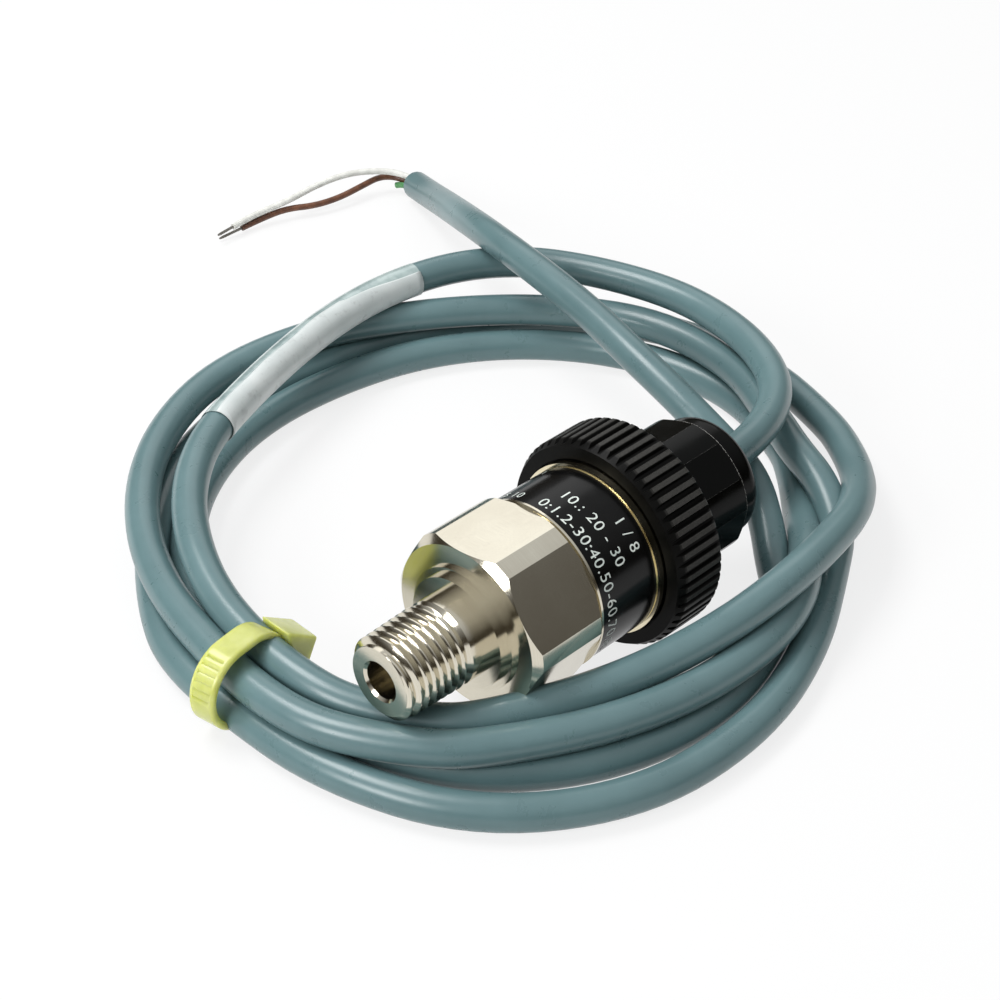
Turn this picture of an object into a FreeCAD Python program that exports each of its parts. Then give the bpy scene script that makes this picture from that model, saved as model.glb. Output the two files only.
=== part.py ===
import FreeCAD, Part
import math
import os
import re

import Sketcher
from FreeCAD import Placement, Rotation, Vector

# Cable-mounted pressure transmitter: a threaded steel port, a black sleeve with the
# electronics, a ribbed union nut that holds the cable socket, a hexagonal gland cap,
# and a coil of cable with a tie, a label and a cut end.
#
# The sensor's axis lies along X. A station is a distance along that axis, measured from
# the tip of the port thread. The origin is on the floor, below the middle of the sensor.

doc = FreeCAD.newDocument("PressureTransmitter")

# ------------------------------------------------------------------ driving sizes, mm

SIZES = [
    # clearances
    ("slide_gap", 0.05, "radial gap of parts that are pushed together"),
    ("turn_gap", 0.10, "radial gap of the nut's thread on the threaded ring"),
    ("open_gap", 0.30, "gap round parts that pass each other freely"),
    # port thread and bore
    ("thread_length", 11.1, "tip to the end of the full thread"),
    ("thread_root", 5.95, "root radius at the end of the full thread"),
    ("thread_taper", 0.03125, "radius gained per millimetre of length"),
    ("runout_length", 0.9, "cone from the thread root to the shank"),
    ("shank_length", 3.3, "plain shank behind the thread"),
    ("shank_radius", 6.9, "plain shank"),
    ("bore_radius", 3.0, "pressure bore"),
    ("bore_depth", 8.0, "pressure bore, from the tip"),
    ("bore_chamfer", 0.4, "mouth of the pressure bore"),
    ("snubber_radius", 2.4, "snubber and its seat"),
    ("snubber_length", 4.0, "snubber and its seat"),
    ("snubber_hole", 0.4, "restriction in the snubber"),
    ("feed_radius", 1.5, "feed hole behind the snubber"),
    # seat, pad and hexagon
    ("seat_length", 1.2, "sealing collar"),
    ("seat_radius", 9.1, "sealing collar"),
    ("pad_length", 0.7, "turned pad in front of the hexagon"),
    ("pad_radius", 10.15, "turned pad in front of the hexagon"),
    ("hex_length", 14.3, "wrench hexagon"),
    ("hex_flats", 27.0, "wrench hexagon, across flats"),
    ("hex_corner_step", 1.3, "turned corners of the hexagon, beyond its flats"),
    ("hex_chamfer", 1.0, "turned chamfer at both ends of the hexagon"),
    ("hex_roll", -4.0, "turn of the hexagon about the axis, degrees"),
    ("rim_length", 0.4, "bright rim behind the hexagon"),
    ("rim_step", 0.15, "bright rim, beyond the sleeve"),
    # spigot and sleeve
    ("sleeve_step", 0.35, "outside of the housing sleeve, beyond the hexagon's flats"),
    ("sleeve_wall", 1.05, "housing sleeve"),
    ("sleeve_length", 12.0, "housing sleeve"),
    ("sleeve_chamfer", 0.2, "outer edges of the sleeve"),
    ("spigot_length", 5.0, "spigot of the port inside the sleeve"),
    ("seal_inset", 1.6, "rim to the seal groove"),
    ("seal_width", 1.7, "seal groove in the spigot"),
    ("seal_section", 0.55, "section radius of the sleeve seal"),
    # measuring cell
    ("cell_radius", 9.0, "ceramic cell"),
    ("cell_length", 6.0, "ceramic cell"),
    ("cell_gap", 0.2, "radial gap round the ceramic cell"),
    ("cell_seal_section", 0.6, "section radius of the cell seal"),
    ("cell_seal_radius", 6.3, "centre line of the cell seal"),
    ("cell_seal_width", 2.2, "groove of the cell seal"),
    ("clamp_length", 3.5, "ring that holds the cell"),
    ("clamp_inset", 0.5, "end of the spigot to the ring that holds the cell"),
    ("clamp_bore", 6.5, "ring that holds the cell, inner radius"),
    ("cell_pin_count", 4, "pins of the cell"),
    ("cell_pin_radius", 0.3, "pins of the cell"),
    ("cell_pin_pitch", 4.5, "radius of the cell's pin circle"),
    # electronics
    ("board_gap", 0.5, "radial gap round the signal board and its spacer"),
    ("board_length", 1.6, "thickness of the signal board"),
    ("spacer_length", 2.5, "board spacer"),
    ("spacer_wall", 1.8, "board spacer"),
    ("chip_side", 6.0, "amplifier chip"),
    ("chip_height", 1.2, "amplifier chip"),
    ("chip_offset", 7.0, "amplifier chip, from the axis"),
    # threaded ring and header
    ("ring_lip_length", 1.4, "lip between the sleeve and the nut"),
    ("ring_lip_step", 0.5, "lip between the sleeve and the nut, beyond the barrel"),
    ("ring_barrel_length", 4.3, "threaded barrel"),
    ("ring_wall", 2.0, "wall of the threaded barrel"),
    ("ring_spigot_wall", 0.85, "wall of the ring inside the sleeve"),
    ("header_inset", 1.9, "board to the header insert"),
    ("header_length", 4.0, "header insert"),
    ("contact_count", 3, "contacts of the plug connection"),
    ("contact_pitch", 2.2, "radius of the contact circle"),
    ("pin_radius", 0.5, "header pins"),
    ("pin_length", 10.0, "header pins"),
    ("contact_radius", 0.95, "socket contacts"),
    ("contact_length", 6.8, "socket contacts"),
    # cable socket
    ("gasket_length", 0.8, "gasket between ring and socket"),
    ("gasket_step", 0.6, "outside of the gasket, below the barrel of the ring"),
    ("socket_spigot_length", 2.7, "front spigot inside the threaded ring"),
    ("flange_length", 2.0, "flange that the nut presses"),
    ("flange_step", 0.3, "outside of the flange, below the barrel of the ring"),
    ("barrel_length", 3.2, "barrel that the nut passes"),
    ("flange_ledge", 2.7, "ledge of the flange round the barrel"),
    ("tail_length", 6.4, "threaded tail under the gland cap"),
    ("tail_wall", 1.6, "wall of the tail round the wiring chamber"),
    ("chamber_floor", 6.1, "front end of the socket to its wiring chamber"),
    # union nut
    ("slip_length", 0.6, "slip ring"),
    ("nut_length", 9.8, "union nut"),
    ("nut_wall", 3.6, "wall of the union nut, over the ribs"),
    ("nut_face_step", 0.8, "front face of the union nut, below the ribs"),
    ("nut_lead", 1.4, "widening behind the front face"),
    ("nut_floor", 1.85, "inner shoulder of the union nut"),
    ("nut_mouth_depth", 0.9, "relief round the lip of the threaded ring"),
    ("nut_round", 1.0, "rounded rear edge of the union nut"),
    ("rib_count", 58, "ribs of the union nut"),
    ("rib_land", 0.75, "width of a rib at its crest"),
    ("rib_floor", 0.5, "width of the groove between ribs at its floor"),
    ("rib_depth", 0.65, "height of the ribs"),
    # gland
    ("cap_step", 0.57, "corners of the gland cap, beyond the barrel"),
    ("cap_wall", 2.0, "wall of the cap at its flats"),
    ("cap_corner_step", 0.47, "turned corners of the gland cap, beyond its flats"),
    ("cap_front_chamfer", 0.5, "front edge of the gland cap"),
    ("cap_hex_length", 12.1, "hexagon of the gland cap"),
    ("cap_dome_length", 5.3, "domed end of the gland cap"),
    ("cap_dome_step", 0.7, "domed end of the gland cap, below its flats"),
    ("cap_shoulder", 0.8, "cone from the hexagon to the dome"),
    ("cap_round", 2.5, "rounded rear edge of the dome"),
    ("cap_roll", -18.0, "turn of the gland cap about the axis, degrees"),
    ("cap_thread_length", 6.4, "inner thread of the cap"),
    ("cap_cage_step", 1.0, "space for the clamp, below the tail"),
    ("cap_cage_length", 3.7, "space for the clamp behind the thread"),
    ("cap_cone_length", 3.5, "cone that closes the clamp on the cable"),
    ("cap_cone_step", 1.3, "small end of the cone, beyond the cable hole"),
    ("clamp_wall", 0.2, "radial gap between the clamp and the cap"),
    ("finger_count", 6, "slots of the clamp"),
    ("finger_slot", 0.8, "width of a slot of the clamp"),
    ("grommet_length", 4.5, "rubber seal round the cable"),
    # cable
    ("cable_radius", 2.9, "cable jacket"),
    ("lead_radius", 0.65, "insulated cores"),
    ("tip_radius", 0.35, "bare ends of the cores"),
    ("white_tip_length", 4.2, "bare end of the white core"),
    ("brown_tip_length", 4.6, "bare end of the brown core"),
    ("coil_height", 10.6, "coiled cable, over the floor"),
    ("coil_round", 2.6, "rounded edges of the coiled cable"),
    ("label_wall", 0.25, "label sleeve round the cable"),
    # cable tie
    ("band_half_width", 7.4, "cable tie band, middle to outside"),
    ("band_half_height", 8.75, "cable tie band, middle to top"),
    ("strap_width", 3.6, "cable tie band"),
    ("strap_thickness", 1.2, "cable tie band"),
    ("strap_corner", 4.5, "inner corners of the band"),
    ("head_length", 5.6, "cable tie head, along the band"),
    ("head_width", 5.4, "cable tie head, across the band"),
    ("head_height", 5.0, "cable tie head"),
]

sheet = doc.addObject("Spreadsheet::Sheet", "Dims")
for row, (alias, number, note) in enumerate(SIZES, start=1):
    sheet.set(f"A{row}", alias)
    sheet.set(f"B{row}", str(number))
    sheet.set(f"C{row}", note)
    sheet.setAlias(f"B{row}", alias)
doc.recompute()

ALIASES = {alias for alias, number, note in SIZES}

# Stations and radii that follow from the driving sizes.
DERIVED = {
    "shank_front": "thread_length + runout_length",
    "seat_front": "shank_front + shank_length",
    "pad_front": "seat_front + seat_length",
    "hex_front": "pad_front + pad_length",
    "hex_rear": "hex_front + hex_length",
    "hex_half": "hex_flats / 2",
    "hex_corner": "hex_half + hex_corner_step",
    "rim_rear": "hex_rear + rim_length",
    "rim_radius": "sleeve_radius + rim_step",
    "sleeve_rear": "rim_rear + sleeve_length",
    "sleeve_radius": "hex_half + sleeve_step",
    "sleeve_bore": "sleeve_radius - sleeve_wall",
    "spigot_rear": "rim_rear + spigot_length",
    "spigot_radius": "sleeve_bore - slide_gap",
    "seal_front": "rim_rear + seal_inset",
    "seal_rear": "seal_front + seal_width",
    "seal_centre": "sleeve_bore - seal_section",
    "tip_root": "thread_root - thread_length * thread_taper",
    "snubber_rear": "bore_depth + snubber_length",
    "cell_front": "spigot_rear - clamp_inset - clamp_length - cell_length",
    "cell_rear": "cell_front + cell_length",
    "cell_bore": "cell_radius + cell_gap",
    "clamp_radius": "cell_bore - slide_gap",
    "clamp_rear": "cell_rear + clamp_length",
    "cell_groove_inner": "cell_seal_radius - cell_seal_width / 2",
    "cell_groove_outer": "cell_seal_radius + cell_seal_width / 2",
    "cell_groove_front": "cell_front - 2 * cell_seal_section",
    "board_front": "spigot_rear + spacer_length",
    "board_rear": "board_front + board_length",
    "board_radius": "sleeve_bore - board_gap",
    "spacer_bore": "board_radius - spacer_wall",
    "lip_rear": "sleeve_rear + ring_lip_length",
    "ring_bore": "spigot_radius - ring_spigot_wall",
    "ring_barrel_radius": "ring_bore + ring_wall",
    "ring_lip_radius": "ring_barrel_radius + ring_lip_step",
    "ring_rear": "lip_rear + ring_barrel_length",
    "header_front": "board_rear + header_inset",
    "header_rear": "header_front + header_length",
    "header_radius": "ring_bore - slide_gap",
    "pin_rear": "board_rear + pin_length",
    "gasket_rear": "ring_rear + gasket_length",
    "gasket_radius": "ring_barrel_radius - gasket_step",
    "socket_front": "ring_rear - socket_spigot_length",
    "socket_spigot": "ring_bore - turn_gap",
    "flange_rear": "gasket_rear + flange_length",
    "flange_radius": "ring_barrel_radius - flange_step",
    "barrel_rear": "flange_rear + barrel_length",
    "barrel_radius": "flange_radius - flange_ledge",
    "tail_rear": "barrel_rear + tail_length",
    "tail_radius": "cap_half - cap_wall",
    "chamber_radius": "tail_radius - tail_wall",
    "chamber_front": "socket_front + chamber_floor",
    "contact_front": "socket_front + open_gap",
    "contact_rear": "contact_front + contact_length",
    "contact_hole": "contact_radius + slide_gap",
    "pin_hole": "pin_radius + slide_gap",
    "slip_rear": "flange_rear + slip_length",
    "nut_shoulder": "slip_rear + slide_gap",
    "nut_rear": "nut_shoulder + nut_floor",
    "nut_front": "nut_rear - nut_length",
    "nut_bore": "ring_barrel_radius + turn_gap",
    "nut_radius": "nut_bore + nut_wall",
    "nut_face_radius": "nut_radius - nut_face_step",
    "slip_radius": "nut_bore - open_gap",
    "nut_mouth": "ring_lip_radius + open_gap",
    "nut_opening": "cap_corner + open_gap",
    "cap_front": "barrel_rear + open_gap",
    "cap_corner": "barrel_radius + cap_step",
    "cap_half": "cap_corner - cap_corner_step",
    "cap_dome_radius": "cap_half - cap_dome_step",
    "cap_cage_radius": "tail_radius - cap_cage_step",
    "cap_hex_rear": "cap_front + cap_hex_length",
    "cap_rear": "cap_hex_rear + cap_dome_length",
    "cap_thread": "tail_radius + slide_gap",
    "cap_thread_rear": "cap_front + cap_thread_length",
    "cage_rear": "cap_thread_rear + cap_cage_length",
    "cone_rear": "cage_rear + cap_cone_length",
    "cone_radius": "cable_hole + cap_cone_step",
    "cable_hole": "cable_radius + open_gap",
    "grommet_front": "tail_rear - grommet_length",
    "fingers_radius": "cap_cage_radius - clamp_wall",
    "fingers_front": "tail_rear + slide_gap",
    "fingers_rear": "cone_rear - cap_cone_length / 5",
    "jacket_front": "grommet_front + slide_gap",
    "overall_length": "cap_rear",
    "axis_height": "nut_radius",
    "rib_pitch": "2 * pi * nut_radius / rib_count",
    "label_bore": "cable_radius + slide_gap",
}


def bound(text):
    """An expression in size names, written with cell references."""

    def reference(found):
        name = found.group(0)
        if name in DERIVED:
            return "(" + bound(DERIVED[name]) + ")"
        if name in ALIASES:
            return "Dims." + name
        return name

    return re.sub(r"[a-z_]+", reference, text)


def value(text):
    """The number that an expression in size names gives now."""
    return float(sheet.evalExpression(bound(text)))


# ------------------------------------------------------------------ modelling helpers

TOUCH = 1e-4

sub_parts = []
cord_radii = {}


def origin_feature(body, role):
    return next(item for item in body.Origin.OriginFeatures if item.Role == role)


def sketch_on(body, plane_role, name):
    sketch = body.newObject("Sketcher::SketchObject", name)
    sketch.AttachmentSupport = [(origin_feature(body, plane_role), "")]
    sketch.MapMode = "FlatFace"
    return sketch


def measure(sketch, kind, line, end, text):
    """Ties one coordinate of a point to an expression, or puts the point on an axis."""
    if text == "0":
        axis = -2 if kind == "DistanceX" else -1
        sketch.addConstraint(Sketcher.Constraint("PointOnObject", line, end, axis))
        return
    datum = sketch.addConstraint(Sketcher.Constraint(kind, -1, 1, line, end, value(text)))
    sketch.setExpression(f"Constraints[{datum}]", bound(text))


def polygon(sketch, corners):
    """A closed outline with every corner tied to its two expressions."""
    spots = [Vector(value(x), value(y), 0) for x, y in corners]
    first = sketch.GeometryCount
    for here, there in zip(spots, spots[1:] + spots[:1]):
        sketch.addGeometry(Part.LineSegment(here, there), False)
    for step, (x, y) in enumerate(corners):
        line = first + step
        following = first + (step + 1) % len(corners)
        sketch.addConstraint(Sketcher.Constraint("Coincident", line, 2, following, 1))
        measure(sketch, "DistanceX", line, 1, x)
        measure(sketch, "DistanceY", line, 1, y)


def circle(sketch, x, y, radius):
    """A circle with its centre and radius tied to expressions."""
    curve = Part.Circle(Vector(value(x), value(y), 0), Vector(0, 0, 1), value(radius))
    index = sketch.addGeometry(curve, False)
    measure(sketch, "DistanceX", index, 3, x)
    measure(sketch, "DistanceY", index, 3, y)
    datum = sketch.addConstraint(Sketcher.Constraint("Radius", index, value(radius)))
    sketch.setExpression(f"Constraints[{datum}]", bound(radius))


def place_on_axis(item, along="0", sideways="0", above="0"):
    """Puts an item that is drawn about the X axis onto the sensor's axis."""
    item.setExpression("Placement.Base.x", bound(f"{along} - overall_length / 2"))
    item.setExpression("Placement.Base.y", bound(sideways))
    item.setExpression("Placement.Base.z", bound(f"{above} + axis_height"))


def revolve(body, sketch):
    turn = body.newObject("PartDesign::Revolution", body.Label + "_turn")
    turn.Profile = sketch
    turn.ReferenceAxis = (sketch, ["H_Axis"])
    turn.Angle = 360
    body.Tip = turn


def new_body(label):
    body = doc.addObject("PartDesign::Body", label)
    sub_parts.append(body)
    return body


def turned(label, profile, roll=None, sideways="0", above="0"):
    """A body turned about the X axis from (station, radius) corners."""
    body = new_body(label)
    sketch = sketch_on(body, "XY_Plane", label + "_profile")
    polygon(sketch, profile)
    revolve(body, sketch)
    if roll:
        body.Placement = Placement(Vector(), Rotation(Vector(1, 0, 0), value(roll)))
        body.setExpression("Placement.Rotation.Angle", bound(roll))
    place_on_axis(body, sideways=sideways, above=above)
    return body


def seal_ring(label, station, radius, section):
    """An O-ring: a circle turned about the X axis."""
    body = new_body(label)
    sketch = sketch_on(body, "XY_Plane", label + "_section")
    circle(sketch, station, radius, section)
    revolve(body, sketch)
    place_on_axis(body)
    return body


def around(body, cut, count):
    """Repeats a cut about the X axis."""
    pattern = body.newObject("PartDesign::PolarPattern", cut.Label + "_pattern")
    pattern.Originals = [cut]
    pattern.Axis = (origin_feature(body, "X_Axis"), [""])
    pattern.Angle = 360
    pattern.setExpression("Occurrences", bound(count))
    body.Tip = pattern


def pocket(body, name, draw, rear, length):
    """A pocket cut forwards, towards the port, from a station."""
    sketch = sketch_on(body, "YZ_Plane", name + "_outline")
    sketch.setExpression("AttachmentOffset.Base.z", bound(rear))
    draw(sketch)
    cut = body.newObject("PartDesign::Pocket", name)
    cut.Profile = sketch
    cut.setExpression("Length", bound(length))
    body.Tip = cut
    return cut


def wrench_flats(body, name, half_flats, corner, front, rear):
    """Six flats between two stations, the first one on top."""
    side = f"{corner} + 1"
    outline = [
        (f"-({side})", half_flats),
        (side, half_flats),
        (side, side),
        (f"-({side})", side),
    ]
    cut = pocket(body, name, lambda sketch: polygon(sketch, outline), rear, f"{rear} - ({front})")
    around(body, cut, "6")


def contact_holes(body, name, radius, front, rear):
    """Round holes for the contacts."""
    cut = pocket(
        body,
        name,
        lambda sketch: circle(sketch, "0", "contact_pitch", radius),
        rear,
        f"{rear} - ({front})",
    )
    around(body, cut, "contact_count")


def round_edge(body, name, station, edge_radius, radius):
    """A fillet on the circular edge at a station."""
    base = body.Tip
    edges = [
        f"Edge{number}"
        for number, edge in enumerate(base.Shape.Edges, start=1)
        if isinstance(edge.Curve, Part.Circle)
        and abs(edge.Curve.Center.x - value(station)) < TOUCH
        and abs(edge.Curve.Radius - value(edge_radius)) < TOUCH
    ]
    fillet = body.newObject("PartDesign::Fillet", name)
    fillet.Base = (base, edges)
    fillet.setExpression("Radius", bound(radius))
    body.Tip = fillet


def rods(label, count, pitch, radius, front, length):
    """Straight round rods along the axis, on a circle round it."""
    for number in range(int(value(count))):
        rod = doc.addObject("Part::Cylinder", f"{label}_{number + 1}")
        rod.setExpression("Radius", bound(radius))
        rod.setExpression("Height", bound(length))
        turn = f"{number} * 360 / {count}"
        rod.Placement = Placement(Vector(), Rotation(Vector(0, 1, 0), 90))
        place_on_axis(rod, front, f"-({pitch}) * sin({turn})", f"{pitch} * cos({turn})")
        sub_parts.append(rod)


def soft_solid(label, shape):
    """A solid of cable, which keeps its chosen route."""
    solid = doc.addObject("Part::Feature", label)
    solid.Shape = shape
    solid.Placement = Placement()
    sub_parts.append(solid)
    return solid


def rounded_route(points, closed=False):
    """Straight runs joined by tangent arcs, each as large as its two runs allow."""
    spots = [Vector(*point) for point in points]
    corners = list(zip(spots, spots[1:], spots[2:]))
    if closed:
        corners = list(zip(spots, spots[1:] + spots[:1], spots[2:] + spots[:2]))
    bends = []
    radii = []
    for before, corner, after in corners:
        inward = corner - before
        outward = after - corner
        reach = 0.45 * min(inward.Length, outward.Length)
        inward.normalize()
        outward.normalize()
        half_turn = inward.getAngle(outward) / 2
        radius = reach / math.tan(half_turn)
        radii.append(radius)
        middle = (outward - inward).normalize() * radius * (1 / math.cos(half_turn) - 1)
        bends.append((corner - inward * reach, corner + middle, corner + outward * reach))
    edges = []
    here = bends[-1][2] if closed else spots[0]
    for start, middle, end in bends:
        edges.append(Part.LineSegment(here, start).toShape())
        edges.append(Part.Arc(start, middle, end).toShape())
        here = end
    if not closed:
        edges.append(Part.LineSegment(here, spots[-1]).toShape())
    return edges, radii


def tube(edges, outer, inner=0.0):
    """A round tube, or a solid cord where the inner radius is zero, along a route."""
    path = Part.Wire(edges)
    start = edges[0].valueAt(edges[0].FirstParameter)
    ahead = edges[0].tangentAt(edges[0].FirstParameter)

    def swept(radius):
        section = Part.Wire(Part.Circle(start, ahead, radius).toShape())
        return path.makePipeShell([section], True, False)

    solid = swept(outer)
    if inner:
        solid = solid.cut(swept(inner))
    return solid


def cord(label, points, radius):
    """A round cord through hand-placed points."""
    edges, radii = rounded_route(points)
    solid = tube(edges, radius)
    length = Part.Wire(edges).Length
    cord_radii[label] = (min(radii), length, solid.Volume / (math.pi * radius**2 * length))
    soft_solid(label, solid)
    return edges


# ------------------------------------------------------------------ port

port = turned(
    "port_body",
    [
        ("0", "bore_radius + bore_chamfer"),
        ("0", "tip_root"),
        ("thread_length", "thread_root"),
        ("shank_front", "shank_radius"),
        ("seat_front", "shank_radius"),
        ("seat_front", "seat_radius"),
        ("pad_front", "seat_radius"),
        ("pad_front", "pad_radius"),
        ("hex_front", "pad_radius"),
        ("hex_front", "hex_half"),
        ("hex_front + hex_chamfer", "hex_corner"),
        ("hex_rear - hex_chamfer", "hex_corner"),
        ("hex_rear", "hex_half"),
        ("hex_rear", "rim_radius"),
        ("rim_rear", "rim_radius"),
        ("rim_rear", "spigot_radius"),
        ("seal_front", "spigot_radius"),
        ("seal_front", "sleeve_bore - 2 * seal_section"),
        ("seal_rear", "sleeve_bore - 2 * seal_section"),
        ("seal_rear", "spigot_radius"),
        ("spigot_rear", "spigot_radius"),
        ("spigot_rear", "cell_bore"),
        ("cell_front", "cell_bore"),
        ("cell_front", "cell_groove_outer"),
        ("cell_groove_front", "cell_groove_outer"),
        ("cell_groove_front", "cell_groove_inner"),
        ("cell_front", "cell_groove_inner"),
        ("cell_front", "feed_radius"),
        ("snubber_rear", "feed_radius"),
        ("snubber_rear", "snubber_radius"),
        ("bore_depth", "snubber_radius"),
        ("bore_depth", "bore_radius"),
        ("bore_chamfer", "bore_radius"),
    ],
    roll="hex_roll",
)
wrench_flats(port, "hex_flat", "hex_half", "hex_corner", "hex_front", "hex_rear")

turned(
    "pressure_snubber",
    [
        ("bore_depth", "snubber_hole"),
        ("bore_depth", "snubber_radius"),
        ("snubber_rear", "snubber_radius"),
        ("snubber_rear", "snubber_hole"),
    ],
)

# ------------------------------------------------------------------ measuring cell

seal_ring("cell_seal", "cell_front - cell_seal_section", "cell_seal_radius", "cell_seal_section")

turned(
    "ceramic_cell",
    [
        ("cell_front", "0"),
        ("cell_front", "cell_radius"),
        ("cell_rear", "cell_radius"),
        ("cell_rear", "0"),
    ],
)

turned(
    "cell_clamp_ring",
    [
        ("cell_rear", "clamp_bore"),
        ("cell_rear", "clamp_radius"),
        ("clamp_rear", "clamp_radius"),
        ("clamp_rear", "clamp_bore"),
    ],
)

rods("cell_pin", "cell_pin_count", "cell_pin_pitch", "cell_pin_radius", "cell_rear", "board_front - cell_rear")

# ------------------------------------------------------------------ housing and electronics

seal_ring("sleeve_seal", "(seal_front + seal_rear) / 2", "seal_centre", "seal_section")

turned(
    "housing_sleeve",
    [
        ("rim_rear", "sleeve_bore"),
        ("rim_rear", "sleeve_radius - sleeve_chamfer"),
        ("rim_rear + sleeve_chamfer", "sleeve_radius"),
        ("sleeve_rear - sleeve_chamfer", "sleeve_radius"),
        ("sleeve_rear", "sleeve_radius - sleeve_chamfer"),
        ("sleeve_rear", "sleeve_bore"),
    ],
)

turned(
    "board_spacer",
    [
        ("spigot_rear", "spacer_bore"),
        ("spigot_rear", "board_radius"),
        ("board_front", "board_radius"),
        ("board_front", "spacer_bore"),
    ],
)

turned(
    "signal_board",
    [
        ("board_front", "0"),
        ("board_front", "board_radius"),
        ("board_rear", "board_radius"),
        ("board_rear", "0"),
    ],
)

chip = doc.addObject("Part::Box", "amplifier_chip")
chip.setExpression("Length", bound("chip_height"))
chip.setExpression("Width", bound("chip_side"))
chip.setExpression("Height", bound("chip_side"))
place_on_axis(chip, "board_rear", "-chip_side / 2", "-chip_offset - chip_side / 2")
sub_parts.append(chip)

# ------------------------------------------------------------------ threaded ring and header

turned(
    "thread_ring",
    [
        ("board_rear", "ring_bore"),
        ("board_rear", "spigot_radius"),
        ("sleeve_rear", "spigot_radius"),
        ("sleeve_rear", "ring_lip_radius"),
        ("lip_rear", "ring_lip_radius"),
        ("lip_rear", "ring_barrel_radius"),
        ("ring_rear", "ring_barrel_radius"),
        ("ring_rear", "ring_bore"),
    ],
)

header = turned(
    "header_insert",
    [
        ("header_front", "0"),
        ("header_front", "header_radius"),
        ("header_rear", "header_radius"),
        ("header_rear", "0"),
    ],
)
contact_holes(header, "header_hole", "pin_hole", "header_front", "header_rear")

rods("header_pin", "contact_count", "contact_pitch", "pin_radius", "board_rear", "pin_length")

# ------------------------------------------------------------------ cable socket

turned(
    "socket_gasket",
    [
        ("ring_rear", "ring_bore"),
        ("ring_rear", "gasket_radius"),
        ("gasket_rear", "gasket_radius"),
        ("gasket_rear", "ring_bore"),
    ],
)

socket = turned(
    "cable_socket",
    [
        ("socket_front", "0"),
        ("socket_front", "socket_spigot"),
        ("gasket_rear", "socket_spigot"),
        ("gasket_rear", "flange_radius"),
        ("flange_rear", "flange_radius"),
        ("flange_rear", "barrel_radius"),
        ("barrel_rear", "barrel_radius"),
        ("barrel_rear", "tail_radius"),
        ("tail_rear", "tail_radius"),
        ("tail_rear", "chamber_radius"),
        ("chamber_front", "chamber_radius"),
        ("chamber_front", "0"),
    ],
)
contact_holes(socket, "socket_hole", "contact_hole", "socket_front", "chamber_front")

for number in range(int(value("contact_count"))):
    turn = f"{number} * 360 / contact_count"
    turned(
        f"socket_contact_{number + 1}",
        [
            ("contact_front", "pin_hole"),
            ("contact_front", "contact_radius"),
            ("contact_rear", "contact_radius"),
            ("contact_rear", "0"),
            ("pin_rear + open_gap", "0"),
            ("pin_rear + open_gap", "pin_hole"),
        ],
        sideways=f"-contact_pitch * sin({turn})",
        above=f"contact_pitch * cos({turn})",
    )

rods(
    "core_lead", "contact_count", "contact_pitch", "lead_radius", "contact_rear", "jacket_front - contact_rear"
)

# ------------------------------------------------------------------ union nut

turned(
    "slip_ring",
    [
        ("flange_rear", "nut_opening"),
        ("flange_rear", "slip_radius"),
        ("slip_rear", "slip_radius"),
        ("slip_rear", "nut_opening"),
    ],
)

nut = turned(
    "union_nut",
    [
        ("nut_front", "nut_mouth"),
        ("nut_front", "nut_face_radius"),
        ("nut_front + nut_lead", "nut_radius"),
        ("nut_rear", "nut_radius"),
        ("nut_rear", "nut_opening"),
        ("nut_shoulder", "nut_opening"),
        ("nut_shoulder", "nut_bore"),
        ("nut_front + nut_mouth_depth", "nut_bore"),
        ("nut_front + nut_mouth_depth", "nut_mouth"),
    ],
)
doc.recompute()
round_edge(nut, "nut_rear_round", "nut_rear", "nut_radius", "nut_round")

groove_outline = [
    ("-rib_floor / 2", "nut_radius - rib_depth"),
    ("rib_floor / 2", "nut_radius - rib_depth"),
    ("(rib_pitch - rib_land) / 2", "nut_radius"),
    ("(rib_pitch - rib_land) / 2", "nut_radius + rib_depth"),
    ("-(rib_pitch - rib_land) / 2", "nut_radius + rib_depth"),
    ("-(rib_pitch - rib_land) / 2", "nut_radius"),
]
groove = pocket(
    nut, "rib_groove", lambda sketch: polygon(sketch, groove_outline), "nut_rear", "nut_length"
)
around(nut, groove, "rib_count")

# ------------------------------------------------------------------ gland

cap = turned(
    "gland_cap",
    [
        ("cap_front", "cap_thread"),
        ("cap_front", "cap_corner - cap_front_chamfer"),
        ("cap_front + cap_front_chamfer", "cap_corner"),
        ("cap_hex_rear", "cap_corner"),
        ("cap_hex_rear + cap_shoulder", "cap_dome_radius"),
        ("cap_rear", "cap_dome_radius"),
        ("cap_rear", "cable_hole"),
        ("cone_rear", "cable_hole"),
        ("cone_rear", "cone_radius"),
        ("cage_rear", "cap_cage_radius"),
        ("cap_thread_rear", "cap_cage_radius"),
        ("cap_thread_rear", "cap_thread"),
    ],
    roll="cap_roll",
)
doc.recompute()
round_edge(cap, "cap_dome_round", "cap_rear", "cap_dome_radius", "cap_round")
wrench_flats(cap, "cap_flat", "cap_half", "cap_corner", "cap_front", "cap_hex_rear + cap_shoulder")

turned(
    "gland_grommet",
    [
        ("grommet_front", "cable_radius + slide_gap"),
        ("grommet_front", "chamber_radius - slide_gap"),
        ("tail_rear", "chamber_radius - slide_gap"),
        ("tail_rear", "cable_radius + slide_gap"),
    ],
)

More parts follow.
